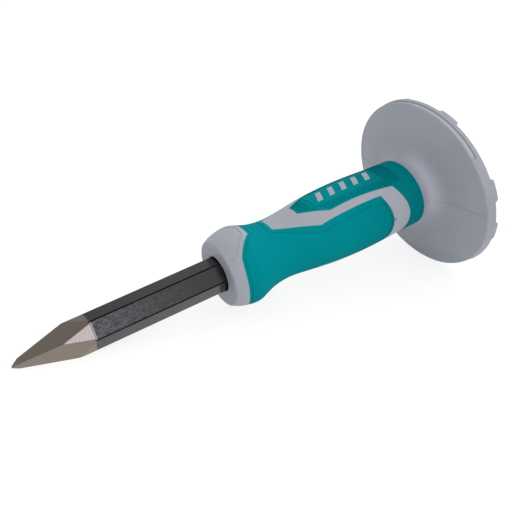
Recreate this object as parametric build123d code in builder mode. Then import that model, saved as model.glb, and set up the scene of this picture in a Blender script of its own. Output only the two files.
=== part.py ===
from build123d import *
import math
import os

# A pointed masonry chisel with a moulded hand guard.
# The tool lies along +X: the working point is the origin, the striking face is
# at +X. +Z runs through the middle of the upper panel of the grip, and the
# mould parts along the two sides of the tool, at +Y and -Y.
# "Front" is towards the point and "rear" towards the striking face.
# All lengths are millimetres, all angles degrees. Angles round the tool are
# measured from +Z towards -Y, looking from the point to the head.

os.makedirs("parts", exist_ok=True)

# ---------------------------------------------------------------- dimensions
# bar
total_length = 250.0
bar_af = 16.0                 # hexagon, across flats
bar_corner_r = 1.2            # rolled corner of the hexagon
bar_clock = 6.0               # the bar sits this far round from the grip
ridge_angle = 54.0            # a ridge of the point, on the middle of a flat
# ground point, as (x, half width)
point_profile = [(0.0, 0.2), (3.5, 1.9), (39.3, 8.42)]
# struck end, as (distance in front of the striking face, radius)
head_profile = [(8.0, 30.0), (8.0, 10.2), (3.0, 9.4), (0.6, 6.85), (0.0, 5.9)]
key_x = (150.0, 196.0)        # turned rings in the corners, which key the grip
key_width = 8.0
key_radius = 8.25
key_flank = 1.5               # each ring widens by this at each side,
key_outer_r = 12.0            # up to this radius

# grip sleeve, first shot of the moulding; profile points are (x, radius)
nose_x = 110.4                # flat front face
nose_face_r = 16.15
nose_edge_middle = (nose_x + 0.2, nose_face_r + 0.68)
nose_edge = (111.12, 17.3)    # the face rounds over into the side here
mouth_r = 9.25                # round mouth that just clears the hexagon
mouth_depth = 2.6
mouth_round = 0.35
nose_knots = [(113.0, 18.2), (116.3, 19.3), (119.8, 20.0)]
nose_bulge = (123.0, 20.25)
grip_knots = [(128.0, 19.1), (133.0, 17.46), (138.5, 16.4), (145.0, 16.03),
              (153.0, 16.66), (161.0, 17.68), (169.0, 18.6), (178.0, 19.18),
              (188.5, 19.5), (200.0, 19.3), (212.0, 18.75)]
collar_end = (227.3, 18.35)   # rear end of the overmoulded collar
collar_round = 0.7
neck_r = 16.9                 # bare neck behind the collar
neck_end_x = 229.0

# guard, in one moulding with the sleeve; profile points are (x, radius)
flare_knots = [(231.4, 17.75), (233.4, 19.4), (235.3, 22.3), (236.6, 26.6),
               (237.6, 32.5), (238.8, 39.0)]
guard_face = (240.3, 46.6)    # where the front face rounds into the rim
guard_face_tangent = (0.19, 1)
guard_r = 47.3
rim_front_x = 241.05
rim_rear_x = 246.1
rim_rear_r = 47.85            # the rim opens a little to the rear
rim_round = 0.6
rim_inner_r = 44.2
dish_x = 242.9
dish_edge = (dish_x + 0.3, rim_inner_r)
back_knots = [(241.7, 37.5), (240.5, 30.5), (239.1, 24.5), (237.0, 19.4),
              (234.6, 16.4)]
pocket_floor = (232.0, 14.6)  # moulding pocket between hub and flare
hub_r = 12.6
hub_draft = 0.3               # the hub is this much larger at the pocket floor
hub_rear_x = 242.6
guard_clear_x = 225.0         # a plane in front of the whole guard
rib_count = 8
rib_thickness = 1.8
rib_rear_x = 241.6
spoke_length = 40.0           # rib blanks, before they are cut to the profile
spoke_middle_r = 30.0
rib_profile = [(rib_rear_x, 12.0), (rib_rear_x, 28.0),
               (dish_x + 0.2, rim_inner_r + 0.4), (241.9, 45.0), (239.8, 36.0),
               (238.0, 27.0), (236.0, 20.5), (233.8, 17.2), (231.0, 15.5),
               (231.0, 12.0)]
lug_height = 1.8
lug_root = 1.0                # how far a lug sinks into the rim
lug_half_width = 6.5
lug_ramp = 1.3
lug_inner_r = 43.4
lug_angles = [half_turn + angle for half_turn in (0.0, 180.0)
              for angle in (21.0, 75.0, 105.0, 159.0)]
recess_half_angle = 50.0      # shallow recess round the top of the rim
recess_depth = 0.45
recess_x = (241.35, 243.6)
recess_middle_x = (recess_x[0] + recess_x[1]) / 2
recess_width = recess_x[1] - recess_x[0]
recess_end = 2.4              # length of its rounded ends
mould_line_height = 0.1
mould_line_width = 0.3
mould_line_root = (0.8, 0.5)  # how far it sinks in, along x and in radius
mould_line_end = 0.98         # fraction of the flare that it covers
pin_x = 243.0                 # pin mark on the rim
pin_angle = 133.0
pin_r = 0.45
pin_depth = 0.8               # below the guard radius

# overmould, second shot of the moulding
skin = 2.2                    # thickness of the soft skin
line_width = 0.55             # moulded lines round the fields
line_depth = 0.18
texture_depth = 0.25          # the textured band lies this much lower
corner_round = 0.8            # small corners of the outlines
stripe_round = 3.0            # wide corner of the stripe

# outlines seen from above, as (x, half width), the two halves being mirrored
front_edge = [(127.7, 4.5), (123.5, 8.3), (119.4, 12.1), (117.5, 14.3),
              (116.8, 16.8), (116.4, 18.8), (116.3, 24.0)]
pad_outer_corner = (230, 24.4)    # closes the outline, clear of the pad
stripe_outer = [(141.5, 4.9), (152.4, 9.1), (164.6, 13.6), (235.0, 13.6)]
panel_front = [(158.0, 3.7), (164.3, 6.6), (173.1, 10.5)]
panel_rear = [(187.0, 10.35), (199.8, 10.75), (213.0, 11.75)]
panel_end_x = 214.0           # under the collar
frame_outline = [(167.7, 5.6), (183.0, 6.35), (196.0, 6.75), (210.0, 7.5)]
texture_rear = (218.5, 10.3)
texture_margin = 0.6          # from the panel's edge to the textured band
# the same margin at the three front points, as (back in x, in from the side)
texture_front_margins = [(0.8, 0.2), (0.2, 0.65), (0.1, texture_margin)]
nose_label = [(125.1, 4.0), (120.9, 7.9), (116.4, 12.0), (112.4, 12.85)]
label_front = 113.0           # the outline is open towards the front
# outlines seen from the side, as (x, z)
pad_rear = [(202.7, 13.6), (206.3, 0.0)]
collar_front = [(212.2, 14.7), (217.2, 0.0)]
pad_line_inset = 2.6          # along the stripes
pad_line_nearer = 1.3         # closer than that at the two ends
side_inset_ratio = 0.74       # the edges lie on the slope of the round grip
skew_inset_ratio = 0.35       # share of an inset taken across a slanted edge

# slanted bars in the upper and the lower panel
mark_count = 5
mark_pitch = 7.6
mark_first_x = 174.6
mark_width = 3.1
mark_half = 3.6
mark_slant = 1.6

# reach of the fields and cutters, well clear of the grip
through = 30.0                # to each side of the axis
clear_x = 240.0
clear_z = 40.0


# ------------------------------------------------------------------- helpers
def direction(angle):
    """Unit vector across the tool, at an angle from +Z towards -Y."""
    a = math.radians(angle)
    return (0, -math.sin(a), math.cos(a))


def facing(angle, x=0.0):
    """Plane through the axis at x, facing out at an angle, with its x along X."""
    return Plane(origin=(x, 0, 0), x_dir=(1, 0, 0), z_dir=direction(angle))


def mirrored(points):
    """A closed outline from the half with positive second coordinate."""
    return points + [(x, -y) for x, y in reversed(points)]


def bulge(points, inset=0.0):
    """Points of a side outline that bulges backwards, symmetric in z."""
    (x0, z0), (x1, _) = points
    steps = (1.35, 1.0, 0.66, 0.33, 0.0, -0.33, -0.66, -1.0, -1.35)
    return [(x1 - (x1 - x0) * t * t - inset, z0 * t) for t in steps]


def round_corners(sketch, x, radius):
    """Round the corners at x of the sketch being drawn."""
    corners = sketch.vertices().filter_by_position(Axis.X, x - 0.1, x + 0.1)
    fillet(corners, radius)


def grip_outline():
    """Lay the side of nose, grip and collar in the line being drawn."""
    ThreePointArc((nose_x, nose_face_r), nose_edge_middle, nose_edge)
    Spline(nose_edge, *nose_knots, nose_bulge, tangents=[(0.9, 0.435), (1, 0)])
    Spline(nose_bulge, *grip_knots, collar_end, tangents=[(1, 0), (1, -0.02)])


def arcs(curve, count):
    """Lay a chain of short arcs along a curve, in the line being drawn."""
    for k in range(count):
        ThreePointArc(curve @ (k / count), curve @ ((k + 0.5) / count),
                      curve @ ((k + 1) / count))


# ------------------------------------------------------------- bar of steel
# A rolled hexagon, ground to a square point in front. The four ground faces
# run out just behind the ground length, which leaves a small shoulder at the
# corners of the hexagon.
with BuildPart() as chisel_bar:
    with BuildSketch(Plane.YZ) as hexagon:
        RegularPolygon(radius=bar_af / 2, side_count=6, major_radius=False,
                       rotation=-bar_clock)
        fillet(hexagon.vertices(), bar_corner_r)
    extrude(amount=total_length)
    for face_angle in (ridge_angle + 45, ridge_angle + 135):
        with BuildSketch(facing(face_angle + 90)):
            with BuildLine():
                Polyline(*mirrored(point_profile
                                   + [(point_profile[-1][0], 30.0),
                                      (total_length + 5, 30.0)]), close=True)
            make_face()
        extrude(amount=40, both=True, mode=Mode.INTERSECT)
    # struck end: a turned chamfer with a softened edge
    with BuildSketch(Plane.XY):
        with BuildLine():
            Polyline((-1, 0), (-1, head_profile[0][1]),
                     *[(total_length - back, r) for back, r in head_profile],
                     (total_length, 0), close=True)
        make_face()
    revolve(axis=Axis.X, mode=Mode.INTERSECT)
    # two turned rings that take the corners down where the sleeve grips
    with BuildSketch(Plane.XY):
        for x in key_x:
            front, rear = x - key_width / 2, x + key_width / 2
            with BuildLine():
                Polyline((front, key_radius), (rear, key_radius),
                         (rear + key_flank, key_outer_r),
                         (front - key_flank, key_outer_r), close=True)
            make_face()
    revolve(axis=Axis.X, mode=Mode.SUBTRACT)

# ------------------------------------------------- solids used to cut others
# Nose, grip and collar as one plain turned solid.
with BuildPart() as grip_solid:
    with BuildSketch(Plane.XY):
        with BuildLine():
            grip_outline()
            Polyline(collar_end, (collar_end[0], 0), (nose_x, 0),
                     (nose_x, nose_face_r))
        make_face()
    revolve(axis=Axis.X)


def inner_solid(depth):
    """The grip's solid with its radius reduced by a depth, for thin layers."""
    knots = [nose_edge, *nose_knots, nose_bulge, *grip_knots, collar_end]
    rear_x = collar_end[0] + 2
    with BuildPart() as inner:
        with BuildSketch(Plane.XY):
            with BuildLine():
                side = Spline(*[(x, r - depth) for x, r in knots])
                Polyline(side @ 1, (rear_x, collar_end[1] - depth),
                         (rear_x, 0), (nose_edge[0], 0), side @ 0)
            make_face()
        revolve(axis=Axis.X)
    return inner.part


def pad_field(inset):
    """Where the front overmould shows, set in from its edges, right through."""
    side = inset * side_inset_ratio
    skew = inset * skew_inset_ratio
    near = max(inset - pad_line_nearer, 0.0)
    with BuildPart() as field:
        with BuildSketch(Plane.XY) as behind_nose:
            edge = [(x + near, y + skew_inset_ratio * near)
                    for x, y in front_edge]
            with BuildLine():
                Polyline(*mirrored(edge + [pad_outer_corner]), close=True)
            make_face()
            round_corners(behind_nose, edge[0][0], corner_round)
        extrude(amount=through, both=True)
        # the stripe left free between the pads, above and below
        with BuildSketch(Plane.XY) as stripe:
            (tip_x, tip_y), *middle, (end_x, end_y) = stripe_outer
            half = [(tip_x - inset, tip_y + skew)]
            half += [(x - skew, y + side) for x, y in middle]
            half += [(end_x, end_y + side)]
            with BuildLine():
                Polyline(*mirrored(half), close=True)
            make_face()
            round_corners(stripe, half[0][0], corner_round)
            round_corners(stripe, half[2][0], stripe_round)
        extrude(amount=through, both=True, mode=Mode.SUBTRACT)
        with BuildSketch(Plane.XZ):
            with BuildLine():
                tail = Spline(*bulge(pad_rear, near))
                Polyline(tail @ 1, (clear_x, -clear_z), (clear_x, clear_z),
                         tail @ 0)
            make_face()
        extrude(amount=through, both=True, mode=Mode.SUBTRACT)
    return field.part


skin_core = inner_solid(skin)
line_core = inner_solid(line_depth)
texture_core = inner_solid(texture_depth)

# A moulded line that runs inside the edges of the front overmould.
with BuildPart() as pad_line:
    add(pad_field(pad_line_inset))
    add(pad_field(pad_line_inset + line_width), mode=Mode.SUBTRACT)
    add(line_core, mode=Mode.SUBTRACT)

# ----------------------------------------------- front overmould, side pads
# The room is what the sleeve leaves free; the finished piece fills it up to
# the grip's surface and has its moulded line as well.
with BuildPart() as front_room:
    add(pad_field(0.0))
    add(skin_core, mode=Mode.SUBTRACT)

with BuildPart() as front_overmould:
    add(front_room.part)
    add(grip_solid.part, mode=Mode.INTERSECT)
    add(pad_line.part, mode=Mode.SUBTRACT)

# --------------------------------------- rear overmould, collar and panels
with BuildPart() as rear_room:
    with BuildSketch(Plane.XY) as panel:
        with BuildLine():
            Polyline((panel_end_x, 0), (panel_front[0][0], 0), *panel_front)
            Spline(panel_front[-1], *panel_rear)
            Polyline(panel_rear[-1], (panel_end_x, panel_rear[-1][1]),
                     (panel_end_x, 0))
        make_face()
        mirror(about=Plane.XZ)
        round_corners(panel, panel_front[0][0], corner_round)
    extrude(amount=through, both=True)
    with BuildSketch(Plane.XZ):
        with BuildLine():
            collar_edge = Spline(*bulge(collar_front))
            Polyline(collar_edge @ 1, (collar_end[0], -clear_z),
                     (collar_end[0], clear_z), collar_edge @ 0)
        make_face()
    extrude(amount=through, both=True)
    add(skin_core, mode=Mode.SUBTRACT)
    # windows for the slanted bars, which belong to the sleeve below
    with BuildSketch(Plane.XY):
        for n in range(mark_count):
            x = mark_first_x + n * mark_pitch
            with BuildLine():
                Polyline((x - mark_width / 2 - mark_slant, -mark_half),
                         (x + mark_width / 2 - mark_slant, -mark_half),
                         (x + mark_width / 2 + mark_slant, mark_half),
                         (x - mark_width / 2 + mark_slant, mark_half),
                         close=True)
            make_face()
    extrude(amount=2 * through, both=True, mode=Mode.SUBTRACT)

# The textured band round the smooth frame lies a little lower.
texture_front = [(x + back, y - margin) for (x, y), (back, margin)
                 in zip(panel_front, texture_front_margins)]
texture_side = [(x, y - texture_margin) for x, y in panel_rear]
with BuildPart() as texture_field:
    with BuildSketch(Plane.XY):
        with BuildLine():
            Polyline((texture_rear[0], 0), (texture_front[0][0], 0),
                     *texture_front)
            Spline(texture_front[-1], *texture_side)
            Polyline(texture_side[-1], texture_rear, (texture_rear[0], 0))
        make_face()
        mirror(about=Plane.XZ)
    extrude(amount=through, both=True)
    with BuildSketch(Plane.XY) as frame:
        with BuildLine():
            Polyline(*mirrored(frame_outline), close=True)
        make_face()
        round_corners(frame, frame_outline[0][0], corner_round)
        round_corners(frame, frame_outline[-1][0], corner_round)
    extrude(amount=through, both=True, mode=Mode.SUBTRACT)
    add(texture_core, mode=Mode.SUBTRACT)

with BuildPart() as rear_overmould:
    add(rear_room.part)
    add(grip_solid.part, mode=Mode.INTERSECT)
    rear_edge = rear_overmould.edges().filter_by(GeomType.CIRCLE).sort_by(
        SortBy.RADIUS)[-1]
    fillet(rear_edge, collar_round)
    add(texture_field.part, mode=Mode.SUBTRACT)

# ------------------------------------------------- sleeve and guard, one piece
# ramped lugs on the rear of the rim, cut from radial bars by a ring
with BuildPart() as lugs:
    for angle in lug_angles:
        with BuildSketch(Plane(origin=(rim_rear_x, 0, 0),
                               x_dir=direction(angle + 90),
                               z_dir=direction(angle))):
            with BuildLine():
                Polyline((lug_half_width, -lug_root), (lug_half_width, 0.0),
                         (lug_half_width - lug_ramp, lug_height),
                         (-lug_half_width + lug_ramp, lug_height),
                         (-lug_half_width, 0.0), (-lug_half_width, -lug_root),
                         close=True)
            make_face()
        extrude(amount=60)
    with BuildSketch(Plane.XY):
        with Locations((rim_rear_x, (lug_inner_r + guard_r) / 2)):
            Rectangle(10, guard_r - lug_inner_r)
    revolve(axis=Axis.X, mode=Mode.INTERSECT)

# radial ribs behind the guard
with BuildPart() as ribs:
    with BuildSketch(Plane.YZ.offset(guard_clear_x)):
        with PolarLocations(spoke_middle_r, rib_count):
            Rectangle(spoke_length, rib_thickness)
    extrude(amount=25)
    with BuildSketch(Plane.XY):
        with BuildLine():
            Polyline(*rib_profile, close=True)
        make_face()
    revolve(axis=Axis.X, mode=Mode.INTERSECT)

# recess in the rim: an arc of a ring with rounded ends, cut to its depth
with BuildPart() as rim_recess:
    with BuildSketch(facing(90 - recess_half_angle)):
        with Locations((recess_middle_x, 50)):
            Rectangle(recess_width, 10)
    revolve(axis=Axis.X, revolution_arc=2 * recess_half_angle)
    for angle in (-recess_half_angle, recess_half_angle):
        with BuildSketch(facing(angle, recess_middle_x)):
            Ellipse(recess_width / 2, recess_end)
        extrude(amount=54)
    with BuildSketch(Plane.XY):
        with Locations((243, 50 + guard_r - recess_depth)):
            Rectangle(20, 100)
    revolve(axis=Axis.X, mode=Mode.INTERSECT)

flare_curve = Spline((neck_end_x, neck_r), *flare_knots, guard_face,
                     tangents=[(1, 0.06), guard_face_tangent])
back_curve = Spline(dish_edge, *back_knots, pocket_floor)

# thin line left by the mould halves on the front face of the guard
with BuildPart() as mould_line:
    with BuildSketch(Plane.XY):
        with BuildLine():
            knots = [flare_curve @ (mould_line_end * k / 12) for k in range(13)]
            proud = Spline(*[(p.X - mould_line_height,
                              p.Y + 0.6 * mould_line_height) for p in knots])
            sunk = Spline(*[(p.X + mould_line_root[0], p.Y - mould_line_root[1])
                            for p in knots])
            Line(proud @ 1, sunk @ 1)
            Line(proud @ 0, sunk @ 0)
        make_face()
    revolve(axis=Axis.X)
    with BuildSketch(Plane.YZ.offset(guard_clear_x)):
        Rectangle(100, mould_line_width)
    extrude(amount=20, mode=Mode.INTERSECT)

# outline of the plain label field on the nose, above and below
with BuildPart() as label_line:
    for inset, mode in ((0.0, Mode.ADD), (line_width, Mode.SUBTRACT)):
        with BuildSketch(Plane.XY):
            with BuildLine():
                Polyline(*mirrored(nose_label), close=True)
            make_face()
            if inset:
                offset(amount=-inset, kind=Kind.INTERSECTION, mode=Mode.REPLACE)
        extrude(amount=through, both=True, mode=mode)
    with BuildSketch(Plane.XY):
        with Locations((label_front - 10, 0)):
            Rectangle(20, 60)
    extrude(amount=through, both=True, mode=Mode.SUBTRACT)
    add(line_core, mode=Mode.SUBTRACT)

with BuildPart() as grip_body:
    with BuildSketch(Plane.XY):
        with BuildLine():
            grip_outline()
            Polyline(collar_end, (collar_end[0], neck_r), (neck_end_x, neck_r))
            arcs(flare_curve, 14)
            TangentArc(guard_face, (rim_front_x, guard_r),
                       tangent=guard_face_tangent)
            Polyline((rim_front_x, guard_r), (rim_rear_x - rim_round, rim_rear_r),
                     (rim_rear_x, rim_rear_r - rim_round),
                     (rim_rear_x, rim_inner_r), dish_edge)
            arcs(back_curve, 8)
            Polyline(pocket_floor, (pocket_floor[0], hub_r + hub_draft),
                     (hub_rear_x, hub_r), (hub_rear_x, 0),
                     (nose_x + mouth_depth, 0), (nose_x + mouth_depth, mouth_r),
                     (nose_x + mouth_round, mouth_r))
            # 0.293 is 1 - cos 45, the middle of the quarter round
            ThreePointArc((nose_x + mouth_round, mouth_r),
                          (nose_x + 0.293 * mouth_round,
                           mouth_r + 0.293 * mouth_round),
                          (nose_x, mouth_r + mouth_round))
            Line((nose_x, mouth_r + mouth_round), (nose_x, nose_face_r))
        make_face()
    revolve(axis=Axis.X)
    add(lugs.part)
    add(ribs.part)
    for cutter in (rim_recess, front_room, rear_room, chisel_bar, label_line):
        add(cutter.part, mode=Mode.SUBTRACT)
    add(mould_line.part)
    with BuildSketch(facing(pin_angle, pin_x).offset(guard_r - pin_depth)):
        Circle(pin_r)
    extrude(amount=3, mode=Mode.SUBTRACT)

# -------------------------------------------------------------------- export
for name, piece in (("chisel_bar", chisel_bar.part),
                    ("front_overmould", front_overmould.part),
                    ("rear_overmould", rear_overmould.part),
                    ("grip_body", grip_body.part)):
    piece.label = name
    export_step(piece, f"parts/{name}.step")
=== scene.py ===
import math

import bmesh
import bpy
from mathutils import Matrix, Vector
from mathutils.bvhtree import BVHTree


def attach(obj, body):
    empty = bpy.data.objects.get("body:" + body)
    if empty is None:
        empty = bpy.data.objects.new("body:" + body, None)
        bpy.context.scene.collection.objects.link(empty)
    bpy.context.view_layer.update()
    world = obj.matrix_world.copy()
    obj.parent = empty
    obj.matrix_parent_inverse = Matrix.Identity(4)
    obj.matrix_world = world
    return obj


# Pointed masonry chisel with a hand guard, lying on a white table on its point and on the
# lowest part of the guard's rim. Axes are the CAD frame's: the tool along +X, its working
# point at the origin, +Z through the middle of the top panel.

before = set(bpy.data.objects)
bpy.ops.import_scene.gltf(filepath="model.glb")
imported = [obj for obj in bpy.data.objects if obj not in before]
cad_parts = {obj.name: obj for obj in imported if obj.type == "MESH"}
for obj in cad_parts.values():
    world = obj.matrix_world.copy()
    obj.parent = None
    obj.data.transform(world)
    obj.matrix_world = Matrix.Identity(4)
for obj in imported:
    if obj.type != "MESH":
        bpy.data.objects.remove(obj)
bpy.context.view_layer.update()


def direction(angle):
    """Unit radial direction at an angle from +Z towards -Y, in degrees."""
    a = math.radians(angle)
    return (0.0, -math.sin(a), math.cos(a))


def srgb(r, g, b):
    """Linear colour from an 8-bit display colour."""
    out = []
    for c in (r, g, b):
        c = c / 255
        out.append(c / 12.92 if c <= 0.04045 else ((c + 0.055) / 1.055) ** 2.4)
    return (*out, 1.0)


# ---------------------------------------------------------------- node helpers
class Shader:
    """Small wrapper that adds and links shader nodes."""

    def __init__(self, tree):
        self.tree = tree
        self.tree.nodes.clear()

    def node(self, kind, **props):
        n = self.tree.nodes.new(kind)
        for key, value in props.items():
            setattr(n, key, value)
        return n

    def put(self, socket, value):
        if value is None:
            return
        if isinstance(value, bpy.types.NodeSocket):
            self.tree.links.new(value, socket)
        else:
            socket.default_value = value

    def math(self, op, a, b=None, c=None, clamp=False):
        n = self.node("ShaderNodeMath", operation=op, use_clamp=clamp)
        self.put(n.inputs[0], a)
        self.put(n.inputs[1], b)
        self.put(n.inputs[2], c)
        return n.outputs[0]

    def vec(self, op, a, b=None):
        n = self.node("ShaderNodeVectorMath", operation=op)
        self.put(n.inputs[0], a)
        if op == "SCALE":
            self.put(n.inputs["Scale"], b)
        else:
            self.put(n.inputs[1], b)
        return n.outputs["Value"] if op in ("DOT_PRODUCT", "LENGTH") else n.outputs[0]

    def split(self, v):
        n = self.node("ShaderNodeSeparateXYZ")
        self.put(n.inputs[0], v)
        return n.outputs[0], n.outputs[1], n.outputs[2]

    def join(self, x, y, z):
        n = self.node("ShaderNodeCombineXYZ")
        for s, v in zip(n.inputs, (x, y, z)):
            self.put(s, v)
        return n.outputs[0]

    def step(self, value, low, high):
        """0 below low, 1 above high, smooth between."""
        n = self.node("ShaderNodeMapRange", interpolation_type="SMOOTHSTEP")
        self.put(n.inputs[0], value)
        n.inputs[1].default_value = low
        n.inputs[2].default_value = high
        n.inputs[3].default_value = 0.0
        n.inputs[4].default_value = 1.0
        return n.outputs[0]

    def span(self, value, low, high, out_low, out_high):
        n = self.node("ShaderNodeMapRange")
        self.put(n.inputs[0], value)
        for s, v in zip(n.inputs[1:5], (low, high, out_low, out_high)):
            s.default_value = v
        return n.outputs[0]

    def mix(self, factor, a, b):
        n = self.node("ShaderNodeMix", data_type="RGBA")
        self.put(n.inputs[0], factor)
        self.put(n.inputs[6], a)
        self.put(n.inputs[7], b)
        return n.outputs[2]

    def blend(self, factor, a, b):
        n = self.node("ShaderNodeMix", data_type="FLOAT")
        self.put(n.inputs[0], factor)
        self.put(n.inputs[2], a)
        self.put(n.inputs[3], b)
        return n.outputs[0]

    def noise(self, vector, scale, detail=3.0, rough=0.55, distortion=0.0):
        n = self.node("ShaderNodeTexNoise")
        self.put(n.inputs["Vector"], vector)
        self.put(n.inputs["Scale"], scale)
        self.put(n.inputs["Detail"], detail)
        self.put(n.inputs["Roughness"], rough)
        self.put(n.inputs["Distortion"], distortion)
        return n.outputs["Fac"] if "Fac" in n.outputs else n.outputs[0]

    def cells(self, vector, scale, feature="F1"):
        n = self.node("ShaderNodeTexVoronoi", feature=feature)
        self.put(n.inputs["Vector"], vector)
        self.put(n.inputs["Scale"], scale)
        return n.outputs["Distance"]

    def bump(self, height, depth, strength=1.0, normal=None):
        n = self.node("ShaderNodeBump")
        self.put(n.inputs["Height"], height)
        n.inputs["Distance"].default_value = depth
        self.put(n.inputs["Strength"], strength)
        if normal is not None:
            self.put(n.inputs["Normal"], normal)
        return n.outputs[0]

    def millimetres(self):
        """Object coordinates in millimetres."""
        coords = self.node("ShaderNodeTexCoord").outputs["Object"]
        return self.vec("SCALE", coords, 1000.0)


def material(name):
    m = bpy.data.materials.new(name)
    m.use_nodes = True
    return m, Shader(m.node_tree)


def surface(s, **inputs):
    """Principled surface wired to the output."""
    p = s.node("ShaderNodeBsdfPrincipled")
    names = {
        "color": "Base Color",
        "metallic": "Metallic",
        "roughness": "Roughness",
        "normal": "Normal",
        "specular": "Specular IOR Level",
        "coat": "Coat Weight",
        "coat_roughness": "Coat Roughness",
        "ior": "IOR",
        "sheen": "Sheen Weight",
        "anisotropic": "Anisotropic",
    }
    for key, value in inputs.items():
        s.put(p.inputs[names[key]], value)
    out = s.node("ShaderNodeOutputMaterial")
    s.tree.links.new(p.outputs[0], out.inputs[0])
    return p


def dress(name, mat):
    """Give a CAD node its material."""
    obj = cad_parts[name]
    for slot in obj.material_slots:
        slot.material = mat
    if not obj.material_slots:
        obj.data.materials.append(mat)


# ---------------------------------------------------------------- lacquered and ground steel
def chisel_steel():
    m, s = material("chisel_steel")
    p = s.millimetres()
    x, y, z = s.split(p)
    across = []
    for angle in (99, 189):
        across.append(s.math("ABSOLUTE", s.vec("DOT_PRODUCT", p, direction(angle))))
    widest = s.math("MAXIMUM", *across)
    half = s.math(
        "MINIMUM",
        s.math("MULTIPLY_ADD", x, 0.4857, 0.2),
        s.math("MULTIPLY_ADD", x, 0.18212, 1.9 - 0.18212 * 3.5),
    )
    wobble = s.math("MULTIPLY", s.math("SUBTRACT", s.noise(p, 0.55, 2), 0.5), 0.18)
    ground = s.step(s.math("ADD", s.math("SUBTRACT", widest, half), wobble), -0.16, -0.04)
    bare_edge = s.math("ADD", x, s.math("MULTIPLY", s.math("SUBTRACT", s.noise(p, 0.9, 3), 0.5), 0.35))
    lacquer = s.step(bare_edge, 39.25, 39.45)

    # distance in from the hexagon's flats: small on a flat, large on a rounded corner
    flats = None
    for angle in (54, 114, 174):
        d = s.math("ABSOLUTE", s.vec("DOT_PRODUCT", p, direction(angle)))
        flats = d if flats is None else s.math("MAXIMUM", flats, d)
    corner = s.step(s.math("SUBTRACT", 8.0, flats), 0.004, 0.05)

    # grinding marks run across the ground faces
    streak_space = s.vec("MULTIPLY", p, (5.5, 0.5, 0.5))
    streak = s.noise(streak_space, 1.0, 4, 0.6)
    cloud = s.noise(p, 0.12, 3, 0.5)
    fine = s.noise(p, 3.2, 4, 0.7)
    ground_color = s.mix(cloud, srgb(147, 131, 115), srgb(145, 139, 134))
    ground_color = s.mix(s.math("MULTIPLY", streak, 0.35), ground_color, srgb(98, 84, 71))

    grit = s.cells(p, 2.6)
    raw_color = s.mix(s.step(grit, 0.05, 0.5), srgb(168, 156, 154), srgb(234, 226, 224))
    raw_color = s.mix(s.step(fine, 0.35, 0.65), s.mix(0.5, raw_color, srgb(188, 176, 172)), raw_color)

    # the skin of the bar shows as bright grit only where a ridge runs out on a flat
    ridge_flat = s.step(s.math("ABSOLUTE", s.vec("DOT_PRODUCT", p, direction(54))), 7.90, 7.98)
    ground = s.math("MAXIMUM", ground, s.math("SUBTRACT", 1.0, ridge_flat))
    bare_color = s.mix(ground, raw_color, ground_color)
    bare_rough = s.blend(ground, 0.52, 0.40)

    mottle = s.noise(s.vec("MULTIPLY", p, (0.9, 1.6, 1.6)), 0.55, 4, 0.6, 0.6)
    lacquer_color = s.mix(s.step(mottle, 0.3, 0.7), srgb(20, 20, 21), srgb(30, 30, 32))
    # painted bluish reflection on the flat in front, mottled and stronger towards the point
    front_flat = s.step(s.vec("DOT_PRODUCT", p, direction(54)), 7.90, 7.98)
    toward_point = s.span(x, 40.0, 96.0, 1.0, 0.0)
    front_reflection = s.math("MULTIPLY", front_flat, s.math("MULTIPLY", toward_point, s.step(mottle, 0.30, 0.72)))
    lacquer_color = s.mix(s.math("MULTIPLY", front_reflection, 0.9), lacquer_color, srgb(94, 94, 106))
    # painted dark reflection along the hexagon's rounded corners
    lacquer_color = s.mix(s.math("MULTIPLY", corner, 0.8), lacquer_color, srgb(8, 8, 8))
    worn = s.step(s.noise(p, 0.35, 5, 0.65), 0.66, 0.72)
    worn = s.math("MULTIPLY", worn, s.math("MULTIPLY", corner, 0.35))
    lacquer_color = s.mix(worn, lacquer_color, srgb(96, 92, 88))
    # painted highlight along the lacquer's edge on the front flat, standing in for the light caught by its slightly
    # proud step
    edge_highlight = s.math("MULTIPLY", s.step(bare_edge, 39.55, 39.75), s.math("SUBTRACT", 1.0, s.step(bare_edge, 40.0, 40.35)))
    edge_highlight = s.math("MULTIPLY", edge_highlight, front_flat)
    lacquer_color = s.mix(s.math("MULTIPLY", edge_highlight, 0.75), lacquer_color, srgb(170, 172, 190))

    color = s.mix(lacquer, bare_color, lacquer_color)
    rough = s.blend(lacquer, bare_rough, s.span(mottle, 0.25, 0.75, 0.17, 0.27))
    metallic = s.blend(lacquer, 1.0, 0.0)

    relief = s.blend(
        lacquer,
        s.blend(ground, s.math("MULTIPLY", grit, 1.2), s.math("MULTIPLY", streak, 0.30)),
        s.math("MULTIPLY", mottle, 1.0),
    )
    normal = s.bump(relief, 0.00006, 0.6)
    normal = s.bump(s.noise(p, 5.0, 2), 0.000008, 0.5, normal)
    top_flat = s.math("MULTIPLY", s.step(s.vec("DOT_PRODUCT", p, direction(-6)), 7.90, 7.98), lacquer)
    shine = s.blend(top_flat, 0.5, s.span(x, 42.0, 68.0, 0.36, 0.5))
    surface(s, color=color, metallic=metallic, roughness=rough, normal=normal,
            specular=s.blend(s.math("MULTIPLY", corner, lacquer), shine, 0.09))
    return m


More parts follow.
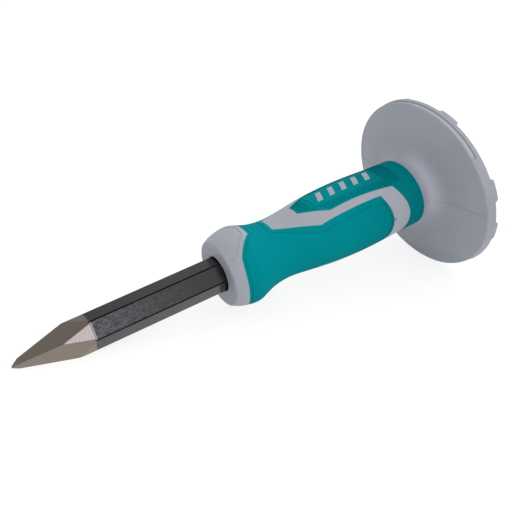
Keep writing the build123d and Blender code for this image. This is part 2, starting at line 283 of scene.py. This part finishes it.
# ---------------------------------------------------------------- grey moulded plastic
def grey_plastic():
    m, s = material("grey_plastic")
    p = s.millimetres()
    x, y, z = s.split(p)
    radius = s.vec("LENGTH", s.vec("MULTIPLY", p, (0, 1, 1)))
    cloud = s.noise(p, 0.05, 3, 0.5)
    speck = s.noise(p, 2.2, 3, 0.6)
    color = s.mix(cloud, srgb(156, 159, 169), srgb(161, 164, 174))
    color = s.mix(s.math("MULTIPLY", s.step(speck, 0.45, 0.75), 0.10), color, srgb(190, 192, 200))
    # painted shade on the rim's outer band, darker towards the bottom
    rim = s.math("MULTIPLY", s.step(radius, 46.5, 46.8), s.step(x, 240.25, 240.75))
    color = s.mix(s.math("MULTIPLY", rim, s.span(z, -34.0, 34.0, 0.36, 0.0)), color, srgb(131, 128, 131))
    # darker blotches on the rim band
    rim = s.math("MULTIPLY", rim, s.step(s.noise(p, 0.5, 5, 0.6), 0.52, 0.68))
    color = s.mix(s.math("MULTIPLY", rim, 0.25), color, srgb(118, 117, 120))
    # painted light on the floor of the rim's recess, lifting the shade it lies in
    recess_light = s.math("MULTIPLY", s.step(radius, 46.2, 46.3), s.math("SUBTRACT", 1.0, s.step(radius, 47.15, 47.3)))
    recess_light = s.math("MULTIPLY", recess_light, s.step(x, 241.2, 241.3))
    recess_light = s.math("MULTIPLY", recess_light, s.math("SUBTRACT", 1.0, s.step(x, 243.65, 243.75)))
    color = s.mix(s.math("MULTIPLY", recess_light, 0.28), color, srgb(220, 219, 228))
    # painted highlight where the neck runs out into the flare, on the side turned towards the light
    sheen = s.math("MULTIPLY", s.step(x, 229.6, 232.2), s.math("SUBTRACT", 1.0, s.step(x, 233.2, 237.0)))
    facing = s.math("DIVIDE", s.vec("DOT_PRODUCT", p, direction(55)), s.math("MAXIMUM", radius, 1.0))
    sheen = s.math("MULTIPLY", sheen, s.step(facing, 0.25, 1.0))
    color = s.mix(s.math("MULTIPLY", sheen, 0.34), color, srgb(208, 208, 222))
    grain = s.noise(p, 4.5, 3, 0.6)
    flow = s.noise(p, 0.35, 2, 0.5)
    normal = s.bump(grain, 0.00003, 0.55)
    normal = s.bump(flow, 0.00006, 0.30, normal)
    rough = s.span(speck, 0.3, 0.7, 0.46, 0.56)
    surface(s, color=color, roughness=rough, normal=normal, specular=0.42)
    return m


# ---------------------------------------------------------------- soft teal rubber
def teal_rubber(name="teal_rubber", painted_shade=0.0):
    m, s = material(name)
    p = s.millimetres()
    x = s.split(p)[0]
    cloud = s.noise(p, 0.06, 3, 0.5)
    speck = s.noise(p, 3.0, 4, 0.7)
    color = s.mix(cloud, srgb(0, 128, 136), srgb(0, 134, 142))
    color = s.mix(s.math("MULTIPLY", s.step(speck, 0.40, 0.80), 0.12), color, srgb(8, 156, 164))
    grain = s.noise(p, 4.2, 4, 0.65)
    normal = s.bump(grain, 0.00004, 0.65)
    # painted shade towards the guard, where the guard blocks light
    color = s.mix(s.step(x, 168.0, 224.0), color, s.mix(0.24, color, srgb(0, 0, 0)))
    # painted shade: the whole material a little darker, for the rings' shaded flanks
    if painted_shade:
        color = s.mix(painted_shade, color, srgb(0, 0, 0))
    surface(s, color=color, roughness=s.span(speck, 0.3, 0.7, 0.62, 0.74), normal=normal, specular=0.012)
    return m


steel = chisel_steel()
plastic = grey_plastic()
rubber = teal_rubber()
# the rings' material is darkened with painted shade
ring_rubber = teal_rubber("teal_rubber_rings", 0.13)
dress("chisel_bar", steel)
dress("grip_body", plastic)
dress("front_overmould", rubber)
dress("rear_overmould", rubber)


# ---------------------------------------------------------------- moulded rubber details
def caster(node):
    """Returns a function that looks in towards the axis of a CAD node along a radial direction and gives the surface
    point and that outward direction.
    """
    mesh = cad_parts[node].data
    tree = BVHTree.FromPolygons([v.co for v in mesh.vertices], [p.vertices for p in mesh.polygons])

    def hit(x, angle, reach=0.06):
        out = Vector(direction(angle))
        start = Vector((x, 0, 0)) + out * reach
        place, normal, _, _ = tree.ray_cast(start, -out)
        return place, out
    return hit


def inside(outline, x, y):
    """Even-odd test of a point against a closed outline."""
    found = False
    for (x1, y1), (x2, y2) in zip(outline, outline[1:] + outline[:1]):
        if (y1 > y) != (y2 > y) and x < (x2 - x1) * (y - y1) / (y2 - y1) + x1:
            found = not found
    return found


def clearance(outline, x, y):
    """Distance from a point to the nearest edge of an outline."""
    best = 1e9
    for (x1, y1), (x2, y2) in zip(outline, outline[1:] + outline[:1]):
        dx, dy = x2 - x1, y2 - y1
        t = max(0.0, min(1.0, ((x - x1) * dx + (y - y1) * dy) / (dx * dx + dy * dy)))
        best = min(best, math.hypot(x - x1 - t * dx, y - y1 - t * dy))
    return best


def both_sides(points):
    return points + [(x, -y) for x, y in reversed(points)]


# the band between the smooth frame and the panel's edge, seen from above, in mm
band_outline = both_sides([(158.8, 3.5), (164.5, 5.95), (173.2, 9.9), (187.0, 9.75), (199.8, 10.15),
                           (213.0, 11.15), (218.5, 10.3)])
frame_outline = both_sides([(167.7, 5.6), (183.0, 6.35), (196.0, 6.75), (210.0, 7.5)])


def ring_bumps():
    """Small raised rings, set close together, that make the textured band of both panels."""
    mesh = bpy.data.meshes.new("panel_rings")
    bm = bmesh.new()
    hit = caster("rear_overmould")
    pitch, big, small = 2.3, 0.00084, 0.00017
    turns, sides = 20, 8
    for centre in (0, 180):
        row = 0
        x = 159.4
        while x < 218.3:
            for k in range(-7, 8):
                arc = (k + 0.5 * (row % 2)) * pitch
                angle = math.degrees(arc / 19.0)
                y = 19.0 * math.sin(math.radians(angle))
                if not inside(band_outline, x, y) or inside(frame_outline, x, y):
                    continue
                if clearance(band_outline, x, y) < 0.35 or clearance(frame_outline, x, y) < 0.35:
                    continue
                place, out = hit(x / 1000, centre + angle)
                if place is None:
                    continue
                along = Vector((1, 0, 0))
                across = out.cross(along).normalized()
                rows = []
                for i in range(turns):
                    a = 2 * math.pi * i / turns
                    spoke = along * math.cos(a) + across * math.sin(a)
                    loop = []
                    for j in range(sides):
                        b = 2 * math.pi * j / sides
                        point = place + spoke * (big + small * math.cos(b)) + out * (small * math.sin(b) + 0.00003)
                        loop.append(bm.verts.new(point))
                    rows.append(loop)
                for i in range(turns):
                    for j in range(sides):
                        face = bm.faces.new((rows[i][j], rows[(i + 1) % turns][j],
                                             rows[(i + 1) % turns][(j + 1) % sides], rows[i][(j + 1) % sides]))
                        face.smooth = True
            x += pitch * 0.866
            row += 1
    bmesh.ops.recalc_face_normals(bm, faces=bm.faces)
    bm.to_mesh(mesh)
    bm.free()
    obj = bpy.data.objects.new("panel_rings", mesh)
    bpy.context.scene.collection.objects.link(obj)
    mesh.materials.append(ring_rubber)
    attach(obj, "root")
    return obj


def gate_nub(side):
    """The small flat spur of rubber left at the injection gate behind each side pad."""
    name = "gate_nub_" + ("right" if side > 0 else "left")
    hit = caster("grip_body")
    mesh = bpy.data.meshes.new(name)
    bm = bmesh.new()
    outline = [(205.9, -0.50), (206.5, -0.42), (207.1, -0.38), (207.6, -0.24), (207.75, 0.0),
               (207.6, 0.24), (207.1, 0.38), (206.5, 0.42), (205.9, 0.50)]
    layers = []
    for lift, shrink in ((-0.35, 1.0), (0.16, 1.0), (0.26, 0.72)):
        loop = []
        for x, s in outline:
            x = 206.6 + (x - 206.6) * shrink
            place, out = hit(0.2084, side * 90 + math.degrees(s * shrink / 19.0))
            radius = math.hypot(place.y, place.z)
            loop.append(bm.verts.new(Vector((x / 1000, 0, 0)) + out * (radius + lift / 1000)))
        layers.append(loop)
    count = len(outline)
    for lower, higher in zip(layers, layers[1:]):
        for i in range(count):
            bm.faces.new((lower[i], lower[(i + 1) % count], higher[(i + 1) % count], higher[i])).smooth = True
    bm.faces.new(layers[-1]).smooth = True
    bm.faces.new(list(reversed(layers[0])))
    bmesh.ops.recalc_face_normals(bm, faces=bm.faces)
    bm.to_mesh(mesh)
    bm.free()
    obj = bpy.data.objects.new(name, mesh)
    bpy.context.scene.collection.objects.link(obj)
    mesh.materials.append(rubber)
    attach(obj, "root")
    return obj


ring_bumps()
gate_nub(1)
gate_nub(-1)


# ---------------------------------------------------------------- table, light and camera
# The table touches the working point and the lowest part of the guard's rim.
table_normal = Vector((0.1905, -0.04, 0.98)).normalized()


def white_table():
    m, s = material("white_table")
    p = s.millimetres()
    x, y, z = s.split(p)
    grain = s.noise(p, 0.4, 2)
    paper = s.node("ShaderNodeBsdfDiffuse")
    s.put(paper.inputs[0], s.mix(grain, (0.86, 0.86, 0.86, 1), (0.88, 0.88, 0.88, 1)))
    clear = s.node("ShaderNodeBsdfTransparent")
    ray = s.node("ShaderNodeLightPath")

    # seen by the lens: near white, with only a trace of the contact shadow
    soft = s.node("ShaderNodeBsdfDiffuse")
    s.put(soft.inputs[0], (0.22, 0.22, 0.22, 1))
    glow = s.node("ShaderNodeEmission")
    s.put(glow.inputs[1], 0.82)
    seen = s.node("ShaderNodeAddShader")
    s.tree.links.new(soft.outputs[0], seen.inputs[0])
    s.tree.links.new(glow.outputs[0], seen.inputs[1])

    # mirrored in the lacquer: bright under the tool, dark beyond the table's front edge
    mirrored = s.node("ShaderNodeEmission")
    s.put(mirrored.inputs[1], s.blend(s.step(y, -150.0, -55.0), 0.12, 1.0))

    def choose(factor, first, second):
        n = s.node("ShaderNodeMixShader")
        s.put(n.inputs[0], factor)
        s.tree.links.new(first.outputs[0], n.inputs[1])
        s.tree.links.new(second.outputs[0], n.inputs[2])
        return n

    result = choose(ray.outputs["Is Glossy Ray"], paper, mirrored)
    result = choose(ray.outputs["Is Camera Ray"], result, seen)
    back = s.node("ShaderNodeNewGeometry").outputs["Backfacing"]
    result = choose(back, result, clear)
    out = s.node("ShaderNodeOutputMaterial")
    s.tree.links.new(result.outputs[0], out.inputs[0])
    return m


def make_table():
    mesh = bpy.data.meshes.new("table_top")
    bm = bmesh.new()
    centre = Vector((0.125, 0, 0))
    lowest = min(
        table_normal.dot(Vector((x, r * math.sin(a), -r * math.cos(a))))
        for x, r in ((0.24105, 0.0473), (0.2455, 0.04785), (0.2461, 0.04725))
        for a in (k * 0.05 for k in range(-10, 11))
    )
    lowest = min(lowest, table_normal.dot(Vector((0, 0, -0.0002))))
    rotation = table_normal.to_track_quat("Z", "Y")
    ring = []
    size = 6.0
    for k in range(64):
        a = 2 * math.pi * k / 64
        ring.append(bm.verts.new(rotation @ Vector((size * math.cos(a), size * math.sin(a), 0))
                                 + table_normal * (lowest - 0.00005)))
    bm.faces.new(ring)
    bm.normal_update()
    bm.to_mesh(mesh)
    bm.free()
    obj = bpy.data.objects.new("table_top", mesh)
    bpy.context.scene.collection.objects.link(obj)
    mesh.materials.append(white_table())
    return obj


make_table()

world = bpy.data.worlds.new("studio")
bpy.context.scene.world = world
world.use_nodes = True
w = Shader(world.node_tree)
look = w.node("ShaderNodeTexCoord").outputs["Generated"]
path = w.node("ShaderNodeLightPath")
up = w.split(look)[2]


def lobe(towards, width_in, width_out):
    """1 inside a soft patch of sky around a direction."""
    d = Vector(towards).normalized()
    c = w.vec("DOT_PRODUCT", look, tuple(d))
    return w.step(c, math.cos(math.radians(width_out)), math.cos(math.radians(width_in)))


# what polished surfaces mirror: bright around the lens, dimmer behind, dark overhead
gloss = w.math("ADD", 0.62, w.math("MULTIPLY", w.step(up, 0.84, 0.97), -0.55))
gloss = w.math("ADD", gloss, w.math("MULTIPLY", lobe((0.16, -0.82, 0.55), 9, 26), 0.65))
# soft light from all round, weaker from the side the point lies on
along = w.split(look)[0]
fill = w.math("ADD", 1.0, w.math("MULTIPLY", along, 0.58))
level = w.blend(path.outputs["Is Glossy Ray"], fill, gloss)
level = w.blend(path.outputs["Is Camera Ray"], level, 1.0)
back = w.node("ShaderNodeBackground")
w.put(back.inputs["Color"], (1.0, 1.0, 1.0, 1.0))
w.put(back.inputs["Strength"], level)
w.tree.links.new(back.outputs[0], w.node("ShaderNodeOutputWorld").inputs[0])


def softbox(name, at, aim, size, power, color=(1, 1, 1)):
    light = bpy.data.lights.new(name, "AREA")
    light.shape = "DISK"
    light.size = size
    light.energy = power
    light.color = color
    obj = bpy.data.objects.new(name, light)
    bpy.context.scene.collection.objects.link(obj)
    obj.location = at
    obj.rotation_mode = "QUATERNION"
    obj.rotation_quaternion = (Vector(aim) - Vector(at)).to_track_quat("-Z", "Y")
    obj.visible_glossy = False
    return obj


softbox("key", (0.45, -0.75, 0.95), (0.16, 0, 0), 0.8, 1.6)

camera_data = bpy.data.cameras.new("lens")
camera = bpy.data.objects.new("lens", camera_data)
bpy.context.scene.collection.objects.link(camera)
camera_data.sensor_width = 36.0
camera_data.lens = 52.734
camera_data.clip_start = 0.02
camera_data.clip_end = 50.0
right = Vector((0.89251, -0.40916, -0.18978))
upward = Vector((0.32647, 0.29577, 0.89774))
forward = Vector((0.31119, 0.86320, -0.39755))
camera_at = Vector((-0.02257, -0.28558, 0.22410))
rotation = Matrix((right, upward, -forward)).transposed()
camera.rotation_mode = "QUATERNION"
camera.rotation_quaternion = rotation.to_quaternion()
camera.location = camera_at
bpy.context.scene.camera = camera


def lens_shift(path_name, amount):
    """Lens shift that holds only while the camera stands at the matched viewpoint."""
    curve = camera_data.driver_add(path_name)
    drv = curve.driver
    drv.type = "SCRIPTED"
    for axis, name in zip("XYZ", ("cx", "cy", "cz")):
        v = drv.variables.new()
        v.name = name
        v.type = "TRANSFORMS"
        v.targets[0].id = camera
        v.targets[0].transform_type = "LOC_" + axis
        v.targets[0].transform_space = "WORLD_SPACE"
    near = " and ".join(
        f"abs({n} - ({value:.5f})) < 0.002" for n, value in zip(("cx", "cy", "cz"), camera_at)
    )
    drv.expression = f"{amount} if {near} else 0.0"


lens_shift("shift_x", 0.24606)
lens_shift("shift_y", -0.24988)

settings = bpy.context.scene.view_settings
settings.view_transform = "Standard"
settings.look = "None"
settings.exposure = 0.0
settings.gamma = 1.0
